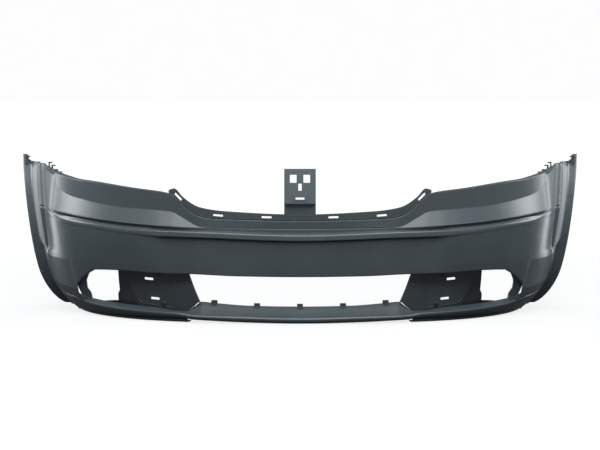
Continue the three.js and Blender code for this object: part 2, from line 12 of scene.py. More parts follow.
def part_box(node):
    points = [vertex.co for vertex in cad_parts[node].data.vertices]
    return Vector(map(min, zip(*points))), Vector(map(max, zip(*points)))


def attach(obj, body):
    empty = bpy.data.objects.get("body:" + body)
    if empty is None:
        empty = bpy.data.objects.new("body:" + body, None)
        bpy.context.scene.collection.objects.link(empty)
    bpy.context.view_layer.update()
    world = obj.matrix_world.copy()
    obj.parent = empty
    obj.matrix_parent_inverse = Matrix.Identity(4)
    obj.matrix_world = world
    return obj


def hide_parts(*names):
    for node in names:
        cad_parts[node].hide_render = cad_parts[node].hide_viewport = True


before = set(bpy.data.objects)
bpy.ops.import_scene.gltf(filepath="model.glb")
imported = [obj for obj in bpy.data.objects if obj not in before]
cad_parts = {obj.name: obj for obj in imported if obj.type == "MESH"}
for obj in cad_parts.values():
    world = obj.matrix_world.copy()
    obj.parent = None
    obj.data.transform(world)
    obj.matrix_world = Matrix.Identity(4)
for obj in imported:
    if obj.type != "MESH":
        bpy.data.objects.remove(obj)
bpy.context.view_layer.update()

bl_info = {
    "name": "Front Bumper Cover",
    "version": (1, 0, 0),
    "blender": (4, 5, 0),
    "location": "3D View > Sidebar > Bumper Cover",
    "description": "Builds the moulded pieces of a front bumper cover over its packed frame",
    "category": "Object",
}

NOSE_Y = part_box("fascia_shell")[0].y + 0.001
MM = 0.001

# Plan of the cover: a superellipse quarter that runs from the nose to the wheel arch.
NOSE_ROUNDNESS = 2.7
SIDE_ROUNDNESS = 2.1
PLAN_WIDTH = 850.0
PLAN_DEPTH = 450.0
PLAN_STEPS = 500
ARCH_CENTRE = (821.0, 160.0)
ARCH_RADIUS = 430.0

# Where pieces end along the cover: u runs from 0 at the nose to 1 at the wheel arch.
SKIN_END = 0.953
OPENING_TIP = 0.748
STRIP_END = 0.381
VALANCE_START = 0.376
VALANCE_END = 0.9
SIDES = (("left", -1), ("right", 1))


# ---- Curves and the skin ---------------------------------------------------------------------

def lerp(a, b, share):
    return a + (b - a) * share


def ease(start, end, x):
    """0 before start, 1 after end and a smooth step between them."""
    t = min(max((x - start) / (end - start), 0.0), 1.0)
    return t * t * (3 - 2 * t)


def monotone(*pairs):
    """A smooth curve through (x, y) pairs that never overshoots them."""
    xs = [pair[0] for pair in pairs]
    ys = [pair[1] for pair in pairs]
    last = len(xs) - 1
    rise = [(ys[i + 1] - ys[i]) / (xs[i + 1] - xs[i]) for i in range(last)]
    slope = [0.0] * (last + 1)
    slope[0] = 0.0 if xs[0] == 0 else rise[0]
    slope[last] = rise[-1]
    for i in range(1, last):
        if rise[i - 1] * rise[i] > 0:
            before, after = xs[i] - xs[i - 1], xs[i + 1] - xs[i]
            first, second = 2 * after + before, after + 2 * before
            slope[i] = (first + second) / (first / rise[i - 1] + second / rise[i])

    @functools.lru_cache(maxsize=None)
    def value(x):
        if x <= xs[0]:
            return ys[0]
        if x >= xs[last]:
            return ys[last]
        i = bisect.bisect_right(xs, x) - 1
        h = xs[i + 1] - xs[i]
        s = (x - xs[i]) / h
        return ((2 * s ** 3 - 3 * s * s + 1) * ys[i] + (s ** 3 - 2 * s * s + s) * h * slope[i]
                + (3 * s * s - 2 * s ** 3) * ys[i + 1] + (s ** 3 - s * s) * h * slope[i + 1])
    return value


def plan_table():
    across, back, length = [0.0], [0.0], [0.0]
    for i in range(1, PLAN_STEPS + 1):
        angle = i / PLAN_STEPS * math.pi / 2
        across.append(math.sin(angle) ** (2 / NOSE_ROUNDNESS))
        back.append(1 - max(math.cos(angle), 0.0) ** (2 / SIDE_ROUNDNESS))
        length.append(length[-1] + math.hypot(PLAN_WIDTH * (across[-1] - across[-2]),
                                              PLAN_DEPTH * (back[-1] - back[-2])))
    return across, back, length


PLAN_ACROSS, PLAN_BACK, PLAN_RUN = plan_table()

half_width = monotone((-20, 705), (0, 727), (30, 752), (60, 774), (100, 794), (150, 808),
                      (226, 822), (330, 840), (470, 859), (560, 868))


@functools.lru_cache(maxsize=None)
def plan_at(u):
    run = min(abs(u), 1.0) * PLAN_RUN[-1]
    i = min(max(bisect.bisect_left(PLAN_RUN, run), 1), PLAN_STEPS)
    share = (run - PLAN_RUN[i - 1]) / (PLAN_RUN[i] - PLAN_RUN[i - 1])
    return (lerp(PLAN_ACROSS[i - 1], PLAN_ACROSS[i], share),
            lerp(PLAN_BACK[i - 1], PLAN_BACK[i], share))


@functools.lru_cache(maxsize=None)
def arch_y(height):
    return ARCH_CENTRE[0] - math.sqrt(ARCH_RADIUS ** 2 - (height - ARCH_CENTRE[1]) ** 2)


def skin_base(u, height):
    across, back = plan_at(u)
    return half_width(height) * across, arch_y(height) * back


def outward(u, height):
    """Direction out of the skin in plan, for u from 0 to 1."""
    ax, ay = skin_base(max(u - 0.004, 0.0), height)
    bx, by = skin_base(min(u + 0.004, 1.0), height)
    run = math.hypot(bx - ax, by - ay)
    return (by - ay) / run, -(bx - ax) / run


def skin(u, height, depth=0.0):
    """A point of the cover: u along it, height in mm, depth inward in mm. Returns metres."""
    half = abs(u)
    x, y = skin_base(half, height)
    nx, ny = outward(half, height)
    side = -1 if u < 0 else 1
    return Vector((side * (x - depth * nx) * MM, (y - depth * ny) * MM + NOSE_Y, height * MM))


def frame_on(u, height, depth=0.0, tilt=0.0, roll=0.0):
    """Axes on the skin: x along the cover, y inward, z up."""
    nx, ny = outward(abs(u), height)
    side = -1 if u < 0 else 1
    inward = Vector((-side * nx, -ny, 0))
    up = Vector((0, 0, 1))
    along = inward.cross(up)
    place = Matrix((along, inward, up)).transposed().to_4x4()
    place = place @ Matrix.Rotation(tilt, 4, "X") @ Matrix.Rotation(roll, 4, "Y")
    place.translation = skin(u, height, depth)
    return place


# Feature lines of the shell, by u, in mm.
top_edge = monotone((0, 313), (0.173, 317), (0.269, 321), (0.289, 326), (0.316, 338),
                    (0.345, 366), (0.375, 394), (0.4, 398), (0.488, 407), (0.626, 422),
                    (0.703, 427), (0.752, 433), (0.832, 442), (0.867, 449), (0.925, 459),
                    (1, 464))
top_depth = monotone((0, 16), (0.3, 16), (0.375, 28), (0.8, 28), (0.953, 4), (1, 4))
facet_top = monotone((0, 294), (0.29, 295), (0.3, 298), (0.318, 308), (0.336, 318.5),
                     (0.354, 329), (0.367, 336.5), (0.377, 339.3), (0.538, 349), (0.686, 368),
                     (0.741, 378), (0.775, 389), (0.803, 405), (0.817, 429), (0.84, 446),
                     (1, 460))
facet_top_depth = monotone((0, 15), (0.29, 12.6), (0.3, 13.2), (0.336, 18.4), (0.367, 22.8),
                           (0.4, 24), (0.8, 23), (0.83, 20), (0.953, 3), (1, 3))
facet_foot = monotone((0, 286), (0.298, 291), (0.488, 301), (0.66, 314), (0.74, 321),
                      (0.803, 325), (0.86, 328), (1, 332))
facet_foot_depth = monotone((0, 14), (0.25, 13), (0.298, 10), (0.36, 4), (0.42, 1.5),
                            (0.8, 0.5), (1, 0))
ridge = monotone((0, 268), (0.292, 277), (0.491, 281), (0.625, 293), (0.732, 301),
                 (0.798, 314), (0.86, 320), (1, 324))
groove_depth = monotone((0, 13), (0.25, 12.5), (0.4, 9), (0.7, 9), (0.81, 1), (1, 0))
face_depth = monotone((0, 10), (0.392, 10), (0.401, 9), (0.44, 3), (0.5, 0.5), (1, 0))
opening_top = monotone((0, 142), (0.189, 144), (0.33, 149), (0.435, 150), (0.556, 154),
                       (0.65, 151), (0.666, 144), (0.684, 134), (0.709, 118), (0.722, 108),
                       (0.738, 92), (0.748, 78), (0.8, 82), (1, 90))
opening_top_depth = monotone((0, 11), (0.36, 11), (0.42, 8), (0.6, 6), (0.748, 0), (1, 0))
opening_foot = monotone((0, 47), (0.153, 49), (0.28, 57), (0.315, 60), (0.345, 45),
                        (0.385, 30), (0.42, 30), (0.46, 36), (0.62, 43), (0.69, 50),
                        (0.72, 56), (0.738, 63), (0.748, 70), (0.8, 66), (1, 72))
shelf_depth = monotone((0, 50), (0.6, 50), (0.7, 30), (0.738, 8), (0.748, 0), (1, 0))
lip = monotone((0, 14), (0.2, 18), (0.35, 21), (0.389, 26), (0.483, 29), (0.58, 32),
               (0.716, 40), (0.763, 48), (0.8, 54), (1, 60))
bottom_edge = monotone((0, 0), (0.18, 3), (0.275, 6), (0.356, 9), (0.39, 13), (0.8, 13),
                       (0.9, 8), (1, 8))
strip_top = monotone((0, 334), (0.05, 335), (0.174, 341), (0.23, 345), (0.26, 349),
                     (0.291, 356), (0.311, 366), (0.34, 388), (0.362, 410), (0.374, 408),
                     (0.381, 404))
pocket_inner = monotone((30, 0.312), (60, 0.318), (150, 0.34))
pocket_depth = monotone((0.32, 34), (0.385, 44), (0.42, 47), (0.6, 47))
flare_half_width = monotone((4, 755), (18, 778), (48, 806), (83, 827), (118, 841), (161, 852),
                            (213, 863), (364, 889), (484, 909))
flare_shoulder = monotone((4, 4), (150, 6), (184, 7), (210, 16), (235, 18), (478, 18.5))
bead_height = monotone((0, 2), (184, 3), (204, 11), (256, 13.5), (350, 17), (470, 18))


def draw_in(u, height):
    """The skin draws in before the wheel arch, steps out to a bead and ends in a valley."""
    bead = ease(0.78, 0.925, u) - ease(0.927, 0.944, u)
    return bead_height(height) * bead + 5 * ease(0.945, SKIN_END, u)


def flare_reach(height):
    return flare_half_width(height) - half_width(height)


# ---- Sections --------------------------------------------------------------------------------

def rounded(points):
    """(height, depth, radius) corners as a line with three points on each inner corner."""
    line = [points[0][:2]]
    for before, here, after in zip(points, points[1:], points[2:]):
        to_before = (before[0] - here[0], before[1] - here[1])
        to_after = (after[0] - here[0], after[1] - here[1])
        runs = [math.hypot(*to_before), math.hypot(*to_after)]
        starts = []
        for way, run in zip((to_before, to_after), runs):
            share = min(here[2] / run, 0.48) if run > 1e-6 else 0.0
            starts.append((here[0] + way[0] * share, here[1] + way[1] * share))
        a, b = starts
        line += [a, (0.25 * a[0] + 0.5 * here[0] + 0.25 * b[0],
                     0.25 * a[1] + 0.5 * here[1] + 0.25 * b[1]), b]
    line.append(points[-1][:2])
    return line


def inset(points, wall):
    """The line of a section moved inward by the wall, with its corners mitred."""
    ways = []
    for a, b in zip(points, points[1:]):
        dh, dd = b[0] - a[0], b[1] - a[1]
        run = math.hypot(dh, dd)
        ways.append((-dd / run, dh / run) if run > 1e-6 else (ways[-1] if ways else (0, -1)))
    moved = []
    for i, (height, depth, radius) in enumerate(points):
        a = ways[max(i - 1, 0)]
        b = ways[min(i, len(ways) - 1)]
        out = (a[0] + b[0], a[1] + b[1])
        size = math.hypot(*out)
        out = (out[0] / size, out[1] / size) if size > 1e-6 else a
        facing = max(out[0] * a[0] + out[1] * a[1], 0.62)
        moved.append((height - out[0] * wall / facing, depth - out[1] * wall / facing,
                      radius + wall * 0.5))
    return moved


def shell_corners(u):
    """Corners of the shell's section, from the top edge down: over and under the opening."""
    top, top_in = top_edge(u), top_depth(u)
    flange = 4 + 16 * (ease(0.37, 0.42, u) - ease(0.85, 0.87, u))
    upper, upper_in = min(facet_top(u), top - 9), facet_top_depth(u)
    foot, foot_in = facet_foot(u), facet_foot_depth(u)
    crest, groove = ridge(u), groove_depth(u)
    under, face = crest - 14, face_depth(u)
    gap_top, gap_in = opening_top(u), opening_top_depth(u)
    hem = 25 * (1 - ease(0.6, OPENING_TIP, u))
    shelf, shelf_in = opening_foot(u), shelf_depth(u)
    edge, bottom = lip(u), bottom_edge(u)
    rib_edge = 1.2 * (ease(0.3, 0.38, u) - ease(0.78, 0.84, u))
    groove_under = 6 * (1 - ease(0.38, 0.43, u))
    lowest = opening_top(OPENING_TIP) - 2
    over = [
        (top - 1, top_in + flange, 0),
        (top, top_in + 1, 2.5),
        (top - 3, top_in, 2),
        (upper + 0.8, upper_in + 0.2, 1.2),
        (upper - 1.2, upper_in - 0.4, 1.2),
        (foot + 3.4, foot_in + 1.5 + rib_edge * 0.4, 0.8),
        (foot + 1.0, foot_in + 0.4 - rib_edge, 0.9),
        (foot - 2, foot_in + (groove - foot_in) * 0.25, 2.5),
        (lerp(crest + 5.5, lerp(foot, crest, 0.5) + 1, ease(0.38, 0.46, u)), groove, 3),
        (crest + 3.4, 2.1, 0.8),
        (crest, 0.1, 0.9),
        (crest - 6, -1.0, 2),
        (under + 1, -2.2 * (1 - ease(0.4, 0.5, u)), 1.5),
        (under - 0.5, face + groove_under, 1),
        (under - 4, face + groove_under, 1),
        (under - 5.5, face, 1.5),
        *[(h, lerp(gap_in - 1, face, ease(gap_top - 20, under, h)), 2)
          for h in (236, 218, 208, 199, 190, 178)],
        (gap_top + 4, gap_in - 0.5, 3),
        (gap_top, gap_in + 0.5, 2.5),
        (lowest if u >= OPENING_TIP else gap_top + 1, gap_in + hem, 0),
    ]
    below = [
        (shelf, shelf_in, 0),
        (edge + 5, min(shelf_in, 12), 2),
        (edge + 3.6, 2.4, 1),
        (edge - 0.5, 0, 1.2),
        (edge - 6, 0, 3),
        (bottom + 3, 4, 3),
        (bottom, 8, 2.5),
        (bottom + 1, lerp(26, 11, ease(0.355, 0.37, u)), 0),
    ]
    return tuple([(h, d + draw_in(u, h), r) for h, d, r in part] for part in (over, below))


def doubled(stations):
    """Stations of one half mirrored, from the left end to the right end."""
    return [-u for u in reversed(stations) if u > 0] + list(stations)


def spread(*spans):
    """Stations from (start, end, count) spans that follow each other."""
    stations = []
    for start, end, count in spans:
        stations += [lerp(start, end, i / count) for i in range(count)]
    stations.append(spans[-1][1])
    return stations


# ---- Meshes ----------------------------------------------------------------------------------

def new_piece(name, mesh):
    piece = bpy.data.objects.new(name, mesh)
    bpy.context.scene.collection.objects.link(piece)
    return piece


def soften(piece, angle):
    """Smooth shading that keeps creases sharper than the angle and flats flat."""
    mesh = piece.data
    work = bmesh.new()
    work.from_mesh(mesh)
    bmesh.ops.recalc_face_normals(work, faces=work.faces)
    for face in work.faces:
        face.smooth = True
    limit = math.radians(angle)
    for edge in work.edges:
        edge.smooth = len(edge.link_faces) == 2 and edge.calc_face_angle(0.0) < limit
    work.to_mesh(mesh)
    work.free()
    weighted = piece.modifiers.new("Even normals", "WEIGHTED_NORMAL")
    weighted.keep_sharp = True


def walled(name, outer, inner, is_open=None):
    """A closed moulding between an outer and an inner grid of points [column][row]."""
    columns, rows = len(outer), len(outer[0])
    verts = [point for grid in (outer, inner) for column in grid for point in column]
    shift = columns * rows

    def solid(i, j):
        inside = 0 <= i < columns - 1 and 0 <= j < rows - 1
        return inside and not (is_open and is_open(i, j))

    faces = []
    for i in range(columns - 1):
        for j in range(rows - 1):
            if not solid(i, j):
                continue
            corners = [(i, j), (i, j + 1), (i + 1, j + 1), (i + 1, j)]
            marks = [a * rows + b for a, b in corners]
            faces.append(marks)
            faces.append([mark + shift for mark in reversed(marks)])
            beyond = [(i - 1, j), (i, j + 1), (i + 1, j), (i, j - 1)]
            for k, (a, b) in enumerate(beyond):
                if not solid(a, b):
                    p, q = marks[k], marks[(k + 1) % 4]
                    faces.append([p, p + shift, q + shift, q])
    mesh = bpy.data.meshes.new(name)
    mesh.from_pydata(verts, [], faces)
    work = bmesh.new()
    work.from_mesh(mesh)
    loose = [vert for vert in work.verts if not vert.link_faces]
    bmesh.ops.delete(work, geom=loose, context="VERTS")
    work.to_mesh(mesh)
    work.free()
    return new_piece(name, mesh)


def sectioned(name, stations, corners, wall, is_open=None):
    """A moulding whose section at each station is given by a list of corner lists."""
    outer, inner = [], []
    for u in stations:
        outside, inside = [], []
        for part in corners(abs(u)):
            outside += [skin(u, h, d) for h, d in rounded(part)]
            inside += [skin(u, h, d) for h, d in rounded(inset(part, wall))]
        outer.append(outside)
        inner.append(inside)
    return walled(name, outer, inner, is_open)


def offset_grid(outer, wall, inward):
    """A copy of a grid moved by the wall along its own normals, to the inward side."""
    columns, rows = len(outer), len(outer[0])
    inner = []
    for i in range(columns):
        line = []
        for j in range(rows):
            along = outer[min(i + 1, columns - 1)][j] - outer[max(i - 1, 0)][j]
            down = outer[i][min(j + 1, rows - 1)] - outer[i][max(j - 1, 0)]
            normal = along.cross(down).normalized()
            if normal.dot(inward(outer[i][j])) < 0:
                normal = -normal
            line.append(outer[i][j] + normal * wall * MM)
        inner.append(line)
    return inner


def prism(points, depth):
    """A bmesh of an (x, z) outline in mm, extruded by depth along +y, centred on y."""
    work = bmesh.new()
    front = [work.verts.new((x * MM, -depth * MM / 2, z * MM)) for x, z in points]
    back = [work.verts.new((x * MM, depth * MM / 2, z * MM)) for x, z in points]
    work.faces.new(front)
    work.faces.new(list(reversed(back)))
    for i in range(len(points)):
        j = (i + 1) % len(points)
        work.faces.new((front[j], front[i], back[i], back[j]))
    bmesh.ops.recalc_face_normals(work, faces=work.faces)
    return work


def rounded_outline(points, radius, steps=4):
    """An (x, z) outline with every corner turned into an arc."""
    line = []
    count = len(points)
    for i, here in enumerate(points):
        here = Vector(here)
        before, after = Vector(points[i - 1]), Vector(points[(i + 1) % count])
        reach_a = min(radius, (before - here).length * 0.49)
        reach_b = min(radius, (after - here).length * 0.49)
        a = here + (before - here).normalized() * reach_a
        b = here + (after - here).normalized() * reach_b
        for k in range(steps + 1):
            t = k / steps
            point = a * (1 - t) ** 2 + here * 2 * t * (1 - t) + b * t * t
            line.append((point.x, point.y))
    return line


def plate_outline(width, height, radius, steps=2):
    x, z = width / 2, height / 2
    return rounded_outline([(-x, -z), (x, -z), (x, z), (-x, z)], radius, steps)


def slot_outline(length, height):
    return plate_outline(length, height, height * 0.16)


def disc_outline(radius, count=24):
    return [(radius * math.cos(i / count * math.tau), radius * math.sin(i / count * math.tau))
            for i in range(count)]


def combined(name, solids):
    """One mesh object out of (bmesh, matrix) pairs."""
    joined = bmesh.new()
    for solid, place in solids:
        part = bpy.data.meshes.new("part")
        solid.transform(place)
        solid.to_mesh(part)
        solid.free()
        joined.from_mesh(part)
        bpy.data.meshes.remove(part)
    mesh = bpy.data.meshes.new(name)
    joined.to_mesh(mesh)
    joined.free()
    return new_piece(name, mesh)


def boolean(piece, solids, operation):
    """Cuts (bmesh, matrix) solids out of a piece, or joins them to it."""
    other = combined(piece.name + "_tool", solids)
    step = piece.modifiers.new("Boolean", "BOOLEAN")
    step.object = other
    step.operation = operation
    step.solver = "EXACT"
    step.use_self = True
    shaped = piece.evaluated_get(bpy.context.evaluated_depsgraph_get())
    mesh = bpy.data.meshes.new_from_object(shaped)
    old = piece.data
    piece.modifiers.clear()
    piece.data = mesh
    bpy.data.meshes.remove(old)
    tool_mesh = other.data
    bpy.data.objects.remove(other)
    bpy.data.meshes.remove(tool_mesh)


def bevelled(piece, width, segments=2, angle=40.0):
    edge = piece.modifiers.new("Edge radius", "BEVEL")
    edge.width = width * MM
    edge.segments = segments
    edge.limit_method = "ANGLE"
    edge.angle_limit = math.radians(angle)
    edge.use_clamp_overlap = True
    edge.harden_normals = False


def box_solid(x, y, z, shift=(0, 0, 0)):
    work = bmesh.new()
    place = Matrix.Translation(Vector(shift) * MM) @ Matrix.Diagonal((x * MM, y * MM, z * MM, 1))
    bmesh.ops.create_cube(work, size=1, matrix=place)
    return work


def turned(profile, sides=28):
    """A bmesh turned round the y axis from (radius, y) points in mm."""
    work = bmesh.new()
    rings = []
    for radius, y in profile:
        if radius == 0:
            rings.append([work.verts.new((0, y * MM, 0))])
            continue
        rings.append([work.verts.new((radius * MM * math.cos(i / sides * math.tau), y * MM,
                                      radius * MM * math.sin(i / sides * math.tau)))
                      for i in range(sides)])
    for a, b in zip(rings, rings[1:]):
        for i in range(sides):
            j = (i + 1) % sides
            if len(a) == 1:
                work.faces.new((a[0], b[j], b[i]))
            elif len(b) == 1:
                work.faces.new((a[i], a[j], b[0]))
            else:
                work.faces.new((a[i], a[j], b[j], b[i]))
    bmesh.ops.recalc_face_normals(work, faces=work.faces)
    return work


def tube(points, radius, sides=8):
    """A bmesh bead of round section along points in metres."""
    work = bmesh.new()
    rings = []
    for i, here in enumerate(points):
        way = (points[min(i + 1, len(points) - 1)] - points[max(i - 1, 0)]).normalized()
        aside = way.cross(Vector((0, 1, 0))).normalized()
        ahead = way.cross(aside)
        rings.append([work.verts.new(here + (aside * math.cos(k / sides * math.tau)
                                             + ahead * math.sin(k / sides * math.tau))
                                     * radius * MM) for k in range(sides)])
    for a, b in zip(rings, rings[1:]):
        for k in range(sides):
            j = (k + 1) % sides
            work.faces.new((a[k], a[j], b[j], b[k]))
    work.faces.new(rings[0])
    work.faces.new(list(reversed(rings[-1])))
    bmesh.ops.recalc_face_normals(work, faces=work.faces)
    return work


def finished(piece, slot, node, crease=36.0):
    """Gives a piece its slot's finish and its body, hides the frame node it stands for and gives
    it soft shading with creases at sharper angles."""
    piece.data.materials.clear()
    piece.data.materials.append(finish_of(slot))
    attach(piece, "root")
    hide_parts(node)
    soften(piece, crease)


# ---- Finishes --------------------------------------------------------------------------------

class Value:
    """A shader socket that takes part in ordinary arithmetic."""

    def __init__(self, finish, socket):
        self.finish = finish
        self.socket = socket

    def maths(self, operation, *values):
        return self.finish.add("ShaderNodeMath", {"operation": operation}, values)

    def __add__(self, other):
        return self.maths("ADD", self, other)

    def __sub__(self, other):
        return self.maths("SUBTRACT", self, other)

    def __rsub__(self, other):
        return self.maths("SUBTRACT", other, self)

    def __mul__(self, other):
        return self.maths("MULTIPLY", self, other)

    __radd__ = __add__
    __rmul__ = __mul__

    def between(self, low, high):
        """0 below low, 1 above high and a smooth step between them."""
        return self.finish.add("ShaderNodeMapRange", {"interpolation_type": "SMOOTHSTEP"},
                               {"Value": self, "From Min": low, "From Max": high})


class Finish:
    """A material built node by node round one Principled shader."""

    def __init__(self, name):
        self.material = bpy.data.materials.new(name)
        self.material.use_nodes = True
        self.tree = self.material.node_tree
        self.tree.nodes.clear()
        self.shader = self.tree.nodes.new("ShaderNodeBsdfPrincipled")
        end = self.tree.nodes.new("ShaderNodeOutputMaterial")
        self.tree.links.new(self.shader.outputs["BSDF"], end.inputs["Surface"])

    def feed(self, socket, value):
        if isinstance(value, Value):
            self.tree.links.new(value.socket, socket)
        elif isinstance(value, (tuple, list)) and len(value) == 3 and socket.type == "RGBA":
            socket.default_value = (*value, 1.0)
        else:
            socket.default_value = value

    def add(self, kind, settings=None, values=None, output=None):
        """Adds a node: its settings first, then its sockets by name, number or order."""
        node = self.tree.nodes.new(kind)
        for key, setting in (settings or {}).items():
            setattr(node, key, setting)
        if values is not None:
            pairs = values.items() if isinstance(values, dict) else enumerate(values)
            for key, value in pairs:
                self.feed(node.inputs[key], value)
        return Value(self, node.outputs[0 if output is None else output])

    def place(self):
        return self.add("ShaderNodeTexCoord", output="Object")

    def stretched(self, scale):
        return self.add("ShaderNodeVectorMath", {"operation": "MULTIPLY"},
                        {0: self.place(), 1: scale})

    def grain(self, scale, detail=2.0, roughness=0.5, coordinates=None):
        return self.add("ShaderNodeTexNoise", None, {
            "Vector": coordinates or self.place(), "Scale": scale, "Detail": detail,
            "Roughness": roughness}, "Fac")

    def blend(self, share, first, second):
        return self.add("ShaderNodeMix", {"data_type": "RGBA"},
                        {0: share, 6: first, 7: second}, 2)

    def relief(self, height, distance, strength=1.0, normal=None):
        values = {"Height": height, "Distance": distance, "Strength": strength}
        if normal is not None:
            values["Normal"] = normal
        return self.add("ShaderNodeBump", None, values)

    def set(self, **sockets):
        for key, value in sockets.items():
            self.feed(self.shader.inputs[key.replace("_", " ").title().replace("Ior", "IOR")],
                      value)
        return self.material


def tinted(colour, factor):
    return tuple(channel * factor for channel in colour)


def primed_skin(sizes):
    """Satin dark primer: fine spray texture, faint clouding and a painted highlight that
    lightens convex edges.
    """
    finish = Finish("primed_skin")
    base = tuple(sizes.primer_colour)
    clouds = finish.grain(7.0, 4.0, 0.55)
    mottle = finish.grain(95.0, 3.0, 0.6)
    spray = finish.grain(1500.0, 1.5, 0.5)
    peel = finish.grain(420.0, 1.0, 0.4)
    # Painted highlight: convex edges, found by pointiness, are blended towards a lighter primer.
    edges = finish.add("ShaderNodeNewGeometry", output="Pointiness").between(0.512, 0.56)
    tone = (clouds * 0.65 + mottle * 0.35).between(0.3, 0.7)
    colour = finish.blend(tone, tinted(base, 0.9), tinted(base, 1.1))
    colour = finish.blend(edges * 0.3, colour, tinted(base, 1.9))
    smooth = sizes.primer_roughness - 0.03
    roughness = smooth + mottle * 0.05 + spray * 0.03
    texture = finish.relief(spray, 0.00005, 0.5, finish.relief(peel, 0.00009, 0.35))
    return finish.set(base_color=colour, roughness=roughness, normal=texture,
                      specular_ior_level=0.5, ior=1.5)


def moulded_plastic(name, colour, rough, depth=0.00012, scale=1300.0):
    """Black moulding: fine spark-eroded grain with slightly greyer, duller patches."""
    finish = Finish(name)
    base = tuple(colour)
    clouds = finish.grain(14.0, 4.0, 0.6)
    pits = finish.add("ShaderNodeTexVoronoi", None,
                      {"Vector": finish.place(), "Scale": scale}, "Distance")
    grain = finish.grain(scale * 0.6, 2.0, 0.55)
    scuffs = finish.grain(30.0, 5.0, 0.7, finish.stretched((1.0, 1.0, 5.0))).between(0.56, 0.8)
    tone = finish.blend(clouds.between(0.3, 0.7), tinted(base, 0.85), tinted(base, 1.2))
    tone = finish.blend(scuffs * 0.25, tone, tinted(base, 1.8))
    texture = finish.relief(pits * 0.6 + grain * 0.4, depth, 0.6)
    return finish.set(base_color=tone, roughness=rough - 0.04 + clouds * 0.08, normal=texture)


def screw_steel(sizes):
    """Zinc-plated steel with faint turning marks."""
    finish = Finish("steel")
    base = tuple(sizes.steel_colour)
    clouds = finish.grain(120.0, 3.0, 0.6)
    marks = finish.grain(900.0, 2.0, 0.5, finish.stretched((1.0, 1.0, 8.0)))
    colour = finish.blend(clouds.between(0.3, 0.7), tinted(base, 0.75), tinted(base, 1.1))
    return finish.set(base_color=colour, metallic=0.9, roughness=0.28 + marks * 0.2,
                      normal=finish.relief(marks, 0.00003, 0.4))


FINISHES = {}


def finish_of(slot):
    """The finish of a slot of the record, made once from the colours in the panel."""
    sizes = bpy.context.scene.bumper_cover
    if slot in FINISHES:
        return FINISHES[slot]
    if slot == "primed_skin":
        made = primed_skin(sizes)
    elif slot == "steel":
        made = screw_steel(sizes)
    elif slot == "clip_plastic":
        made = moulded_plastic(slot, sizes.clip_colour, 0.4, 0.00005, 1900.0)
    else:
        made = moulded_plastic(slot, sizes.plastic_colour, sizes.plastic_roughness)
    FINISHES[slot] = made
    return made


# ---- Sizes and colours -----------------------------------------------------------------------

def field(name, description, default, low=0.0, high=1.0, **kind):
    return FloatProperty(name=name, description=description, default=default, min=low, max=high,
                         **kind)


def colour_field(name, description, default):
    return FloatVectorProperty(name=name, description=description, default=default, min=0.0,
                               max=1.0, subtype="COLOR")


class CoverSizes(PropertyGroup):
    """Sizes and colours of the cover's pieces."""

    wall: field("Wall", "Wall of every moulding, in mm", 3.0, 1.0, 6.0)
    flare_wall: field("Flare wall", "Wall of the arch flares, in mm", 2.6, 1.0, 6.0)
    slot_length: field("Slot length", "Length of the clip slots, in mm", 30.0, 10.0, 50.0)
    slot_height: field("Slot height", "Height of the strip's clip slots, in mm", 6.0, 2.0, 12.0)
    primer_roughness: field("Primer roughness", "Roughness of the primed skin", 0.30,
                            subtype="FACTOR")
    plastic_roughness: field("Plastic roughness", "Roughness of the black mouldings", 0.46,
                             subtype="FACTOR")
    primer_colour: colour_field("Primer", "Colour of the primed skin", (0.052, 0.064, 0.070))
    plastic_colour: colour_field("Black plastic", "Colour of the black mouldings",
                                 (0.038, 0.045, 0.050))
    clip_colour: colour_field("Clips", "Colour of pins and clips", (0.014, 0.016, 0.017))
    steel_colour: colour_field("Steel", "Colour of the screws", (0.42, 0.43, 0.44))


class StudioSizes(PropertyGroup):
    """Lights, floor and camera of the studio."""

    top_power: field("Top light", "Power of the overhead softbox", 58.0, 0.0, 2000.0,
                     unit="POWER")
    front_power: field("Front light", "Power of the raised front box", 96.0, 0.0, 2000.0,
                       unit="POWER")
    raised_power: field("Raised lights", "Power of each raised side box", 125.0, 0.0, 2000.0,
                        unit="POWER")
    side_power: field("Side lights", "Power of each low side softbox", 45.0, 0.0, 2000.0,
                      unit="POWER")
    fill: field("Fill", "Strength of the surrounding light", 0.34, 0.0, 5.0)
    distance: field("Camera distance", "Distance from the origin", 6.2345, 1.0, 50.0,
                    unit="LENGTH", subtype="DISTANCE")
    height: field("Camera height", "Height of the camera", 0.9302, -10.0, 10.0, unit="LENGTH",
                  subtype="DISTANCE")
    lens: field("Focal length", "Focal length in mm", 119.16, 20.0, 300.0)
    floor_colour: colour_field("Floor", "Colour of the floor", (0.78, 0.78, 0.78))


class PieceOperator(Operator):
    """Shared settings of the operators that build the cover."""

    bl_options = {"REGISTER", "UNDO"}


# ---- Shell -----------------------------------------------------------------------------------

class OBJECT_OT_cover_shell(PieceOperator):
    """Build the shell of the cover with its styling lines and the lower opening"""

    bl_idname = "object.cover_shell"
    bl_label = "Fascia shell"

    def execute(self, context):
        sizes = context.scene.bumper_cover
        half = spread((0, 0.26, 22), (0.26, 0.46, 44), (0.46, 0.62, 24), (0.62, OPENING_TIP, 34),
                      (OPENING_TIP, 0.86, 28), (0.86, 0.922, 12), (0.922, SKIN_END, 16))
        stations = doubled(half)
        gap = len(rounded(shell_corners(0.0)[0])) - 1

        def is_open(i, j):
            return j == gap and max(abs(stations[i]), abs(stations[i + 1])) <= OPENING_TIP + 1e-6

        shell = sectioned("shell", stations, shell_corners, sizes.wall, is_open)
        finished(shell, "primed_skin", "fascia_shell")
        return {"FINISHED"}


# ---- Upper mounting strip --------------------------------------------------------------------

STRIP_SLOTS = ((0.096, 322, 0.02), (0.236, 327, 0.07), (0.352, 386, 0.74))


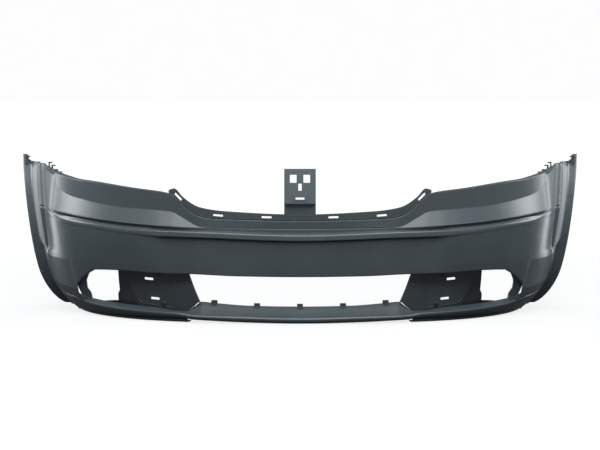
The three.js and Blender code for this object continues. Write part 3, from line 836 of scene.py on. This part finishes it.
def strip_corners(u):
    root, back = top_edge(u) + 0.5, top_depth(u)
    top = max(strip_top(u), root + 8)
    return [[
        (top - 8, back + 6, 0),
        (top, back + 2, 2),
        (lerp(root, top, 0.5) + 2, back + 1, 5),
        (root + 4, back + 1, 3),
        (root + 1.5, back, 1.5),
        (root + 1, back + 8, 2),
        (root - 9, back + 12, 0),
    ]]


class OBJECT_OT_cover_strip(PieceOperator):
    """Build the upper mounting strip with its horns and clip slots"""

    bl_idname = "object.cover_strip"
    bl_label = "Upper mounting strip"

    def execute(self, context):
        sizes = context.scene.bumper_cover
        stations = doubled(spread((0, 0.25, 20), (0.25, STRIP_END, 34)))
        strip = sectioned("mounting_strip", stations, strip_corners, sizes.wall)
        cutters = []
        for u, height, roll in STRIP_SLOTS:
            for side in (-1, 1):
                outline = slot_outline(sizes.slot_length, sizes.slot_height)
                cutters.append((prism(outline, 40),
                                frame_on(side * u, height, 24, -0.45, -side * roll)))
        boolean(strip, cutters, "DIFFERENCE")
        finished(strip, "primed_skin", "upper_mounting_strip")
        return {"FINISHED"}


# ---- Centre support bracket ------------------------------------------------------------------

TAB_WIDTH = 96.0
TAB_FOOT, TAB_LEDGE, TAB_TOP = 328.0, 368.0, 470.0
TAB_FOOT_Y, TAB_LEDGE_Y, TAB_TOP_Y = 17.0, 10.0, 38.0
TAB_SLOT = 382.0


def tab_y(z):
    return lerp(TAB_LEDGE_Y, TAB_TOP_Y, (z - TAB_LEDGE) / (TAB_TOP - TAB_LEDGE))


def tab_place(x, z, lift=0.0):
    """Axes on the tab's leaning face: x across, y rearward, z up the face."""
    lean = math.atan2(TAB_TOP_Y - TAB_LEDGE_Y, TAB_TOP - TAB_LEDGE)
    place = Matrix.Rotation(-lean, 4, "X")
    place.translation = Vector((x * MM, (tab_y(z) - lift) * MM + NOSE_Y, z * MM))
    return place


class OBJECT_OT_cover_tab(PieceOperator):
    """Build the centre support bracket with its windows, slot boss and ribs"""

    bl_idname = "object.cover_tab"
    bl_label = "Centre support bracket"

    def execute(self, context):
        wall = context.scene.bumper_cover.wall
        half = TAB_WIDTH / 2
        centre = (TAB_TOP + TAB_LEDGE) / 2
        slant = math.hypot(TAB_TOP - TAB_LEDGE, TAB_TOP_Y - TAB_LEDGE_Y)
        tab = combined("support_tab", [(prism(plate_outline(TAB_WIDTH, slant, 2, 3), wall),
                                        tab_place(0, centre, -wall / 2))])

        def along_y(profile):
            turn = Matrix.Rotation(math.pi / 2, 4, "Z")
            return prism(profile, TAB_WIDTH), Matrix.Translation((0, NOSE_Y, 0)) @ turn

        foot = along_y([(TAB_FOOT_Y, TAB_FOOT), (TAB_FOOT_Y, TAB_LEDGE + wall),
                        (TAB_LEDGE_Y, TAB_LEDGE), (TAB_LEDGE_Y + wall, TAB_LEDGE + wall + 2),
                        (TAB_FOOT_Y + wall, TAB_LEDGE + wall + 6),
                        (TAB_FOOT_Y + wall, TAB_FOOT)])
        top = tab_y(TAB_TOP)
        ledge = along_y([(top, TAB_TOP), (top + 28, TAB_TOP - 5), (top + 28, TAB_TOP - 8),
                         (top + wall, TAB_TOP - 4), (top - 1, TAB_TOP - 3)])
        extras = [foot, ledge]
        for side in (-1, 1):
            extras += [(box_solid(3, 11, slant - 10),
                        tab_place(side * (half - 2), centre + 2, -6)),
                       (box_solid(3.2, 1.6, slant * 0.96),
                        tab_place(side * (half - 1.6), centre, 0.5)),
                       (box_solid(2, 1.3, 27), tab_place(side * 23, 384, 0.5))]
        extras += [(box_solid(48, 1.3, 2), tab_place(0, 371, 0.5)),
                   (prism(plate_outline(32, 13, 2), 2.2), tab_place(0, TAB_SLOT, 0.6)),
                   (box_solid(TAB_WIDTH - 10, 7, 2), tab_place(0, 367, 2.5))]
        boolean(tab, extras, "UNION")
        cutters = [(prism(plate_outline(20, 25, 1.5), 60), tab_place(side * 20.5, 441))
                   for side in (-1, 1)]
        cutters.append((prism(plate_outline(10, 22, 1.2), 60), tab_place(0, 416)))
        cutters.append((prism(slot_outline(27, 7), 60), tab_place(0, TAB_SLOT)))
        boolean(tab, cutters, "DIFFERENCE")
        bevelled(tab, 0.6)
        finished(tab, "primed_skin", "centre_support_bracket", 30)
        return {"FINISHED"}


# ---- Pocket panels ---------------------------------------------------------------------------

POCKET_OUTER = 0.55
POCKET_SLOTS = ((0.478, 127, 0.06), (0.474, 66, 0.06))
POCKET_PINS = ((0.445, 143), (0.45, 50))
POCKET_RIM = ((0.541, 150), (0.541, 68), (0.537, 57), (0.528, 51), (0.5, 47), (0.46, 42),
              (0.42, 38))
POCKET_MARKS = ((0.506, 84, 15, 0.7), (0.506, 72, 12, -0.8))


def pin_profile():
    return [(0, -3.2), (3.2, -3.2), (3.6, -2.8), (6.4, -2.6), (8.0, -1.4), (8.0, 0.0),
            (3.2, 0.0), (3.2, 9.0), (1.5, 12.0), (0, 12.0)]


class OBJECT_OT_cover_pockets(PieceOperator):
    """Build the pocket panels beside the lower grille, with their slots and ribs"""

    bl_idname = "object.cover_pockets"
    bl_label = "Pocket panels"

    def execute(self, context):
        sizes = context.scene.bumper_cover
        for hand, side in SIDES:
            columns, rows = 44, 16
            outer = []
            for i in range(columns + 1):
                share = i / columns
                foot_u = lerp(pocket_inner(40), POCKET_OUTER, share)
                low, high = opening_foot(foot_u) + 0.3, opening_top(foot_u) + 8
                line = []
                for j in range(rows + 1):
                    height = lerp(high, low, j / rows)
                    u = lerp(pocket_inner(height), POCKET_OUTER, share)
                    line.append(skin(side * u, height, pocket_depth(u)))
                outer.append(line)
            inner = offset_grid(outer, sizes.wall, lambda point: Vector((0, 1, 0)))
            panel = walled("pocket_" + hand, outer, inner)
            rim = [skin(side * u, height, pocket_depth(u) - 0.5) for u, height in POCKET_RIM]
            ribs = [(tube(rim, 1.6), Matrix.Identity(4))]
            for u, height, width, roll in POCKET_MARKS:
                ribs.append((box_solid(1.4, 1.6, width),
                             frame_on(side * u, height, pocket_depth(u) - 0.2, 0.0,
                                      -side * roll)))
            boolean(panel, ribs, "UNION")
            cutters = [(prism(slot_outline(sizes.slot_length - 2, 7.5), 40),
                        frame_on(side * u, height, pocket_depth(u), 0, -side * roll))
                       for u, height, roll in POCKET_SLOTS]
            cutters += [(prism(disc_outline(4), 40), frame_on(side * u, height, pocket_depth(u)))
                        for u, height in POCKET_PINS]
            boolean(panel, cutters, "DIFFERENCE")
            finished(panel, "black_plastic", "pocket_panel_" + hand, 30)
            for k, (u, height) in enumerate(POCKET_PINS):
                pin = combined("pocket_pin_%s_%d_look" % (hand, k + 1), [
                    (turned(pin_profile()), frame_on(side * u, height, pocket_depth(u) - 0.5))])
                finished(pin, "clip_plastic", "pocket_pin_%s_%d" % (hand, k + 1))
        return {"FINISHED"}


# ---- Fog-lamp carriers -----------------------------------------------------------------------

FOG_WINDOW = ((-39, -17), (-30, -30), (-27, -52), (50, -58), (53, -30), (62, -14), (64, 10),
              (58, 30), (46, 54), (-39, 54))


class OBJECT_OT_cover_carriers(PieceOperator):
    """Build the fog-lamp carriers with their windows, a slanted slot and a round hole"""

    bl_idname = "object.cover_carriers"
    bl_label = "Fog-lamp carriers"

    def execute(self, context):
        sizes = context.scene.bumper_cover
        for hand, side in SIDES:
            outer = []
            columns, rows = 36, 18
            for i in range(columns + 1):
                u = lerp(0.552, 0.7445, i / columns)
                high = min(160, opening_top(u) + 30)
                low = opening_foot(u) - 6
                depth = lerp(60, 6, ease(0.66, 0.752, u))
                outer.append([skin(side * u, lerp(high, low, j / rows), depth)
                              for j in range(rows + 1)])
            inner = offset_grid(outer, sizes.wall, lambda point: Vector((0, 1, 0)))
            carrier = walled("fog_carrier_" + hand, outer, inner)
            seat = frame_on(side * 0.648, 102, 60)
            outline = [(side * x, z) for x, z in FOG_WINDOW]
            if side < 0:
                outline.reverse()
            cutters = [(prism(rounded_outline(outline, 4), 90), seat),
                       (prism(plate_outline(5, 26, 2, 3), 60),
                        frame_on(side * 0.712, 92, 30, 0, side * 0.42)),
                       (prism(disc_outline(4.2), 60), frame_on(side * 0.676, 84, 40))]
            boolean(carrier, cutters, "DIFFERENCE")
            finished(carrier, "black_plastic", "fog_lamp_carrier_" + hand, 30)
        return {"FINISHED"}


# ---- Lower valances --------------------------------------------------------------------------

def valance_corners(u):
    rise = 26 * ease(0.72, VALANCE_END + 0.02, u)
    ceiling = bottom_edge(u)
    return [[(ceiling + 14, 17, 0), (ceiling - 1, 16, 2), (ceiling - 3.5, 10, 2),
             (3 + rise * 0.1, 10, 3), (0.3, 13, 3), (0.0, 44, 0)]]


class OBJECT_OT_cover_valances(PieceOperator):
    """Build the lower valances under the corners of the cover"""

    bl_idname = "object.cover_valances"
    bl_label = "Lower valances"

    def execute(self, context):
        sizes = context.scene.bumper_cover
        for hand, side in SIDES:
            stations = [side * u for u in spread((VALANCE_START, 0.4, 5), (0.4, 0.7, 26),
                                                 (0.7, VALANCE_END, 24))]
            if side < 0:
                stations.reverse()
            valance = sectioned("valance_" + hand, stations, valance_corners, sizes.wall)
            finished(valance, "black_plastic", "lower_valance_" + hand)
        return {"FINISHED"}


# ---- Wheel-arch flares -----------------------------------------------------------------------

class OBJECT_OT_cover_flares(PieceOperator):
    """Build the wheel-arch flares with their shoulder band and return lip"""

    bl_idname = "object.cover_flares"
    bl_label = "Wheel-arch flares"

    def execute(self, context):
        sizes = context.scene.bumper_cover
        heights = [lerp(462, 8, i / 90) for i in range(91)]
        for hand, side in SIDES:
            lines = []
            for height in heights:
                reach, shoulder = flare_reach(height), flare_shoulder(height)
                corners = [(0.943, 10), (0.955, 9.5), (0.958, 1), (0.9665, -4.6),
                           (0.987, -shoulder), (0.9955, -reach * 0.97), (0.998, -reach),
                           (1.0, -reach + 2)]
                slanted = 20 * ease(430, 462, height)
                line = []
                for u, depth in flare_line(corners):
                    share = min(max((-depth - shoulder) / (reach - shoulder), 0.0), 1.0)
                    line.append(skin(side * u, height + slanted * share, depth))
                line.append(skin(side, height + slanted, -reach + 10))
                line.append(skin(side, height + slanted * 0.8, -reach + 18))
                lines.append(line)
            outer = [[line[k] for line in lines] for k in range(len(lines[0]))]
            if side < 0:
                outer.reverse()
            centre = Vector((side * 0.55, 0.35, 0.25))
            inner = offset_grid(outer, sizes.flare_wall, lambda point: centre - point)
            flare = walled("arch_flare_" + hand, outer, inner)
            hook = frame_on(side * 0.984, 464, -32.5)
            boolean(flare, [(box_solid(10, 9, 26), hook),
                            (box_solid(16, 14, 3, (0, 4, 12)), hook)], "UNION")
            finished(flare, "primed_skin", "wheel_arch_flare_" + hand)
        return {"FINISHED"}


def flare_line(corners):
    """The flare's plan section, with its corners eased over a few points."""
    line = [corners[0]]
    for before, here, after in zip(corners, corners[1:], corners[2:]):
        between = [(a + b) / 2 for a, b in zip(before, after)]
        for target, share in ((before, 0.3), (before, 0.12), (between, 0.06), (after, 0.12),
                              (after, 0.3)):
            line.append(tuple(lerp(a, b, share) for a, b in zip(here, target)))
    line.append(corners[-1])
    return line


# ---- Small parts -----------------------------------------------------------------------------

class OBJECT_OT_cover_fixings(PieceOperator):
    """Finish the side brackets, grille clips, arch pins and wing screws"""

    bl_idname = "object.cover_fixings"
    bl_label = "Brackets, clips and pins"

    def execute(self, context):
        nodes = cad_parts
        for name, node in nodes.items():
            if name.startswith("side_bracket"):
                slot, width = "black_plastic", 0.5
            elif name.startswith(("grille_clip", "arch_pin")):
                slot, width = "clip_plastic", 0.4
            elif name.startswith("wing_screw"):
                slot, width = "steel", 0.3
            else:
                continue
            node.data.materials.clear()
            node.data.materials.append(finish_of(slot))
            bevelled(node, width)
        return {"FINISHED"}


# ---- Studio ----------------------------------------------------------------------------------

STAGE_RADIUS = 16.0
FLOOR_FADE = (1.2, 3.6)
DAYLIGHT = (0.93, 0.97, 1.0)
CAMERA_TILT = 84.0


class SCENE_OT_cover_studio(Operator):
    """Set up the pale floor, the softboxes and the camera"""

    bl_idname = "scene.cover_studio"
    bl_label = "Studio"

    def softbox(self, name, place, target, width, depth, power):
        light = bpy.data.lights.new(name, "AREA")
        light.shape = "RECTANGLE"
        light.size = width
        light.size_y = depth
        light.energy = power
        light.color = DAYLIGHT
        lamp = bpy.data.objects.new(name, light)
        lamp.location = place
        lamp.visible_camera = False
        aim = Vector(target) - Vector(place)
        lamp.rotation_euler = aim.to_track_quat("-Z", "Y").to_euler()
        bpy.context.scene.collection.objects.link(lamp)

    def surroundings(self, strength):
        """A world that is brighter in front and above than behind and below."""
        world = bpy.data.worlds.new("fill")
        world.use_nodes = True
        tree = world.node_tree
        back = tree.nodes["Background"]
        back.inputs["Strength"].default_value = strength
        ways = tree.nodes.new("ShaderNodeTexCoord")
        lean = tree.nodes.new("ShaderNodeVectorMath")
        lean.operation = "DOT_PRODUCT"
        lean.inputs[1].default_value = (0.0, -0.6, 0.8)
        ramp = tree.nodes.new("ShaderNodeMapRange")
        ramp.inputs["From Min"].default_value = -0.3
        ramp.inputs["From Max"].default_value = 0.6
        tone = tree.nodes.new("ShaderNodeMix")
        tone.data_type = "RGBA"
        tone.inputs[6].default_value = (0.2, 0.21, 0.22, 1)
        tone.inputs[7].default_value = (0.9, 0.95, 1.0, 1)
        for start, end in ((ways.outputs["Generated"], lean.inputs[0]),
                           (lean.outputs["Value"], ramp.inputs["Value"]),
                           (ramp.outputs["Result"], tone.inputs["Factor"]),
                           (tone.outputs[2], back.inputs["Color"])):
            tree.links.new(start, end)
        return world

    def execute(self, context):
        scene = context.scene
        studio = scene.cover_studio
        disc, ball = bmesh.new(), bmesh.new()
        bmesh.ops.create_circle(disc, cap_ends=True, segments=96, radius=STAGE_RADIUS - 0.1)
        bmesh.ops.create_uvsphere(ball, u_segments=64, v_segments=32, radius=STAGE_RADIUS)
        floor = combined("floor", [(disc, Matrix.Identity(4))])
        floor.location.z = -0.0005
        paper = Finish("studio_floor")
        fibre = paper.grain(40.0, 4.0, 0.6)
        pale = tuple(studio.floor_colour)
        near = paper.blend(fibre, tinted(pale, 0.98), pale)
        reach = paper.add("ShaderNodeVectorMath", {"operation": "LENGTH"}, {0: paper.place()},
                          "Value").between(*FLOOR_FADE)
        glow = paper.blend(reach, near, (1.0, 1.0, 1.0))
        grey = paper.blend(fibre, (0.14, 0.14, 0.14), (0.15, 0.15, 0.15))
        floor.data.materials.append(paper.set(
            base_color=grey, roughness=0.9, emission_color=glow, emission_strength=1.0,
            specular_ior_level=0.0))
        dome = combined("backdrop", [(ball, Matrix.Identity(4))])
        cloth = Finish("studio_backdrop")
        weave = cloth.grain(6.0, 2.0, 0.5)
        pale = cloth.blend(weave, (0.97, 0.97, 0.97), (1.0, 1.0, 1.0))
        dome.data.materials.append(cloth.set(
            base_color=(0.0, 0.0, 0.0), roughness=1.0, emission_color=pale,
            emission_strength=1.0, specular_ior_level=0.0))
        for stage in (floor, dome):
            stage.visible_diffuse = stage.visible_glossy = False
            stage.visible_transmission = stage.visible_shadow = False
        self.softbox("top_softbox", (0, -1.5, 3.3), (0, -0.2, 0.3), 3.8, 1.0, studio.top_power)
        self.softbox("front_softbox", (0, -2.7, 3.0), (0, -0.2, 0.3), 3.6, 1.2,
                     studio.front_power)
        for side in (-1, 1):
            aim = (side * 0.8, 0.0, 0.35)
            self.softbox("raised_softbox", (side * 4.06, 0.3, 2.75), aim, 2.0, 1.7,
                         studio.raised_power)
            self.softbox("side_softbox", (side * 3.34, 1.55, 0.5), (side * 0.8, 0.0, 0.45),
                         1.5, 2.1, studio.side_power)
        scene.world = self.surroundings(studio.fill)
        scene.view_settings.view_transform = "Standard"
        camera = bpy.data.objects.new("camera", bpy.data.cameras.new("camera"))
        camera.data.lens = studio.lens
        camera.data.sensor_width = 36.0
        camera.data.clip_end = 100.0
        camera.location = (0, -studio.distance, studio.height)
        camera.rotation_euler = (math.radians(CAMERA_TILT), 0, 0)
        scene.collection.objects.link(camera)
        scene.camera = camera
        return {"FINISHED"}


# ---- Panel and registration ------------------------------------------------------------------

STEPS = (SCENE_OT_cover_studio, OBJECT_OT_cover_shell, OBJECT_OT_cover_strip,
         OBJECT_OT_cover_tab, OBJECT_OT_cover_pockets, OBJECT_OT_cover_carriers,
         OBJECT_OT_cover_valances, OBJECT_OT_cover_flares, OBJECT_OT_cover_fixings)


class VIEW3D_PT_bumper_cover(Panel):
    """Lists the builders of the cover with their sizes and colours."""

    bl_label = "Bumper Cover"
    bl_space_type = "VIEW_3D"
    bl_region_type = "UI"
    bl_category = "Bumper Cover"

    def draw(self, context):
        for step in STEPS:
            self.layout.operator(step.bl_idname, text=step.bl_label)
        for group in (context.scene.bumper_cover, context.scene.cover_studio):
            column = self.layout.column(align=True)
            for name in group.__annotations__:
                column.prop(group, name)


CLASSES = (CoverSizes, StudioSizes, *STEPS, VIEW3D_PT_bumper_cover)


def register():
    for cls in CLASSES:
        bpy.utils.register_class(cls)
    bpy.types.Scene.bumper_cover = PointerProperty(type=CoverSizes)
    bpy.types.Scene.cover_studio = PointerProperty(type=StudioSizes)


def unregister():
    del bpy.types.Scene.cover_studio
    del bpy.types.Scene.bumper_cover
    for cls in reversed(CLASSES):
        bpy.utils.unregister_class(cls)


def main():
    register()
    bpy.ops.scene.cover_studio()
    bpy.ops.object.cover_shell()
    bpy.ops.object.cover_strip()
    bpy.ops.object.cover_tab()
    bpy.ops.object.cover_pockets()
    bpy.ops.object.cover_carriers()
    bpy.ops.object.cover_valances()
    bpy.ops.object.cover_flares()
    bpy.ops.object.cover_fixings()


if __name__ == "__main__":
    main()
